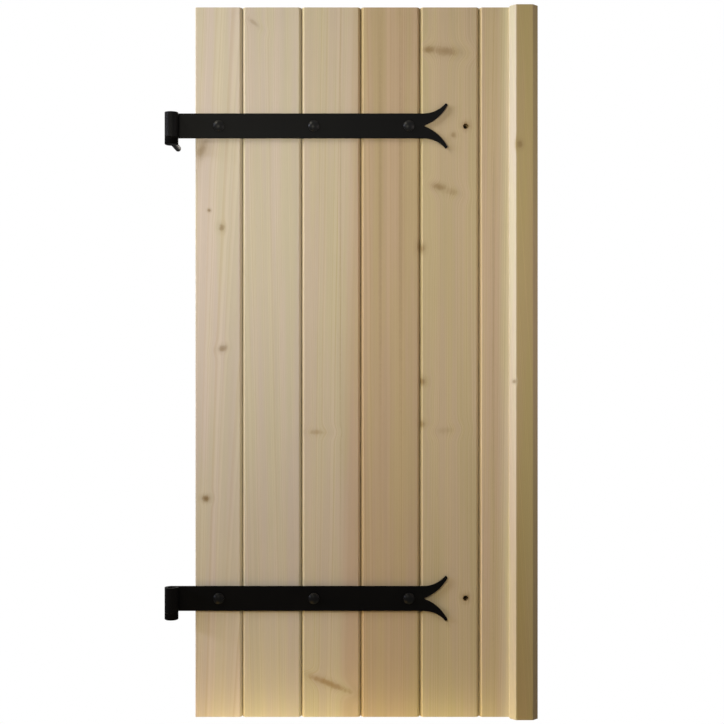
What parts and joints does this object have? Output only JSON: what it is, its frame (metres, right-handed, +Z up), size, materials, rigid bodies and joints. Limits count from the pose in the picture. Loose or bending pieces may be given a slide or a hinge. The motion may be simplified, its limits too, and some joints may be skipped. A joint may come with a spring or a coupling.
{
  "type": "hinged window shutter",
  "caption": "Board-and-strap window shutter leaf: tongue-and-groove softwood boards, a chamfered cover strip, black fishtail strap hinges turning on wall pintles.",
  "frame": {"origin": "on the axis of the lower pintle's shank, where the shank enters the wall", "axes": "+Z up, along the hinge axis; +Y into the wall along the shanks; +X along the closed leaf, away from the hinge"},
  "size_m": [0.6016, 0.0842, 1.15],
  "materials": {
    "softwood": "planed, untreated fir",
    "black_iron": "satin black paint",
    "zinc_steel": "bright zinc plate"
  },
  "bodies": {
    "wall_pintles": {"upper_pintle": "black_iron", "lower_pintle": "black_iron"},
    "leaf": {"board_1": "softwood", "board_2": "softwood", "board_3": "softwood", "board_4": "softwood", "board_5": "softwood", "board_6": "softwood", "cover_strip": "softwood", "cover_strip_screws": "zinc_steel", "upper_strap_hinge": "black_iron", "lower_strap_hinge": "black_iron", "upper_counter_strap": "black_iron", "lower_counter_strap": "black_iron", "upper_strap_bolts": "black_iron", "lower_strap_bolts": "black_iron", "upper_strap_nuts": "black_iron", "lower_strap_nuts": "black_iron", "upper_end_screw": "zinc_steel", "lower_end_screw": "zinc_steel"}
  },
  "joints": [
    {"name": "leaf_swing", "type": "hinge", "parent": "wall_pintles", "child": "leaf", "pos_m": [0, -0.01308, 0], "axis": [0, 0, -1], "range_deg": [0, 180]}
  ]
}
